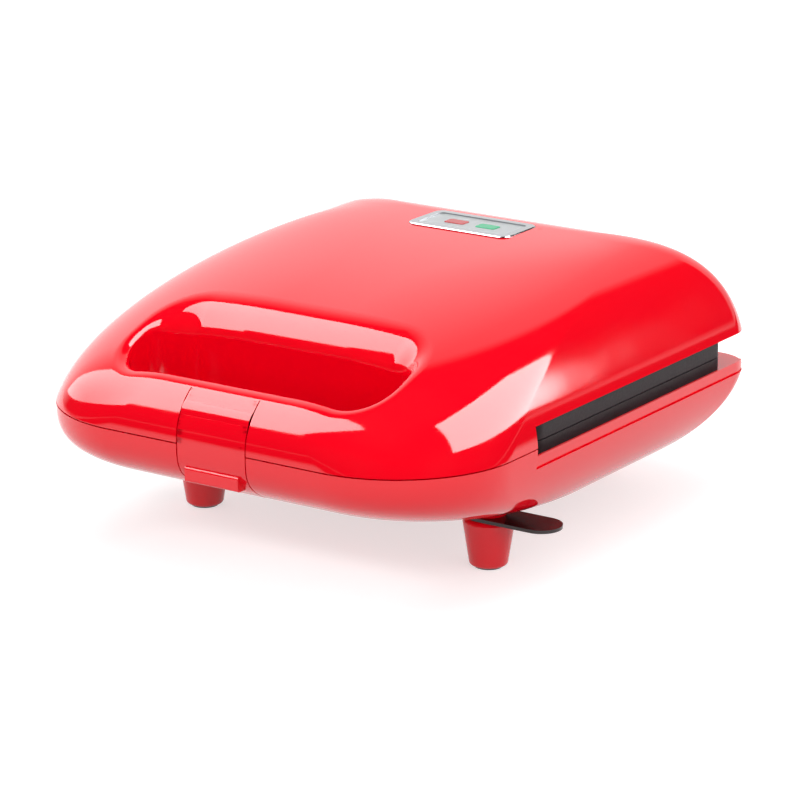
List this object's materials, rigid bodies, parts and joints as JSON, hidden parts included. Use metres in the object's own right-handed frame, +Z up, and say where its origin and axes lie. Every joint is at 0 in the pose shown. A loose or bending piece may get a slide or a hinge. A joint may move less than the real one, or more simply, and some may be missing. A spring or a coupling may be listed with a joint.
{
  "type": "sandwich maker",
  "caption": "Electric sandwich maker with a domed hinged lid, pocketed plates, a loop handle with a swinging latch, and indicator lamps.",
  "frame": {"origin": "on the table below the middle of the body", "axes": "+X to the right seen from the handle, +Y to the hinge, +Z up"},
  "size_m": [0.236, 0.2825, 0.1259],
  "materials": {
    "red_plastic": "high gloss moulded",
    "plate_coating": "cast, dark non-stick coating, satin",
    "element_tube": "dull steel sheath",
    "reflector_sheet": "bright rolled sheet",
    "fastener_steel": "zinc plated",
    "bezel_chrome": "bright plated",
    "face_grey": "satin silver grey",
    "lens_red": "clear tinted",
    "lens_green": "clear tinted",
    "board_green": "coated laminate",
    "lamp_glass": "clear",
    "fuse_white": "ceramic sleeve",
    "block_white": "moulded",
    "black_rubber": "matte",
    "black_plastic": "glossy moulded"
  },
  "bodies": {
    "base": {"base_shell": "red_plastic", "base_inner_frame": "red_plastic", "lower_plate": "plate_coating", "lower_element": "element_tube", "lower_reflector": "reflector_sheet", "lower_plate_screws": "fastener_steel", "base_frame_screws": "fastener_steel", "foot_screws": "fastener_steel", "hinge_pin_left": "fastener_steel", "hinge_pin_right": "fastener_steel", "thermostat": "fastener_steel", "thermal_fuse": "fuse_white", "terminal_block": "block_white", "cord_inlet": "black_rubber", "foot_pads": "black_rubber", "foot_front_left": "red_plastic", "foot_front_right": "red_plastic", "foot_rear_left": "red_plastic", "foot_rear_right": "red_plastic", "cord_hook_left": "black_plastic", "cord_hook_right": "black_plastic"},
    "lid": {"lid_cover": "red_plastic", "lid_inner_frame": "red_plastic", "upper_plate": "plate_coating", "upper_element": "element_tube", "upper_reflector": "reflector_sheet", "upper_plate_screws": "fastener_steel", "lid_frame_screws": "fastener_steel", "latch_pin": "fastener_steel", "indicator_bezel": "bezel_chrome", "indicator_face": "face_grey", "red_lens": "lens_red", "green_lens": "lens_green", "lamp_board": "board_green", "red_lamp": "lamp_glass", "green_lamp": "lamp_glass"},
    "latch": {"latch": "red_plastic"}
  },
  "joints": [
    {"name": "lid_hinge", "type": "hinge", "parent": "base", "child": "lid", "pos_m": [0, 0.1342, 0.0695], "axis": [-1, 0, 0], "range_deg": [0, 100]},
    {"name": "latch_hinge", "type": "hinge", "parent": "lid", "child": "latch", "pos_m": [0, -0.1305, 0.0785], "axis": [-1, 0, 0], "range_deg": [0, 35]}
  ]
}
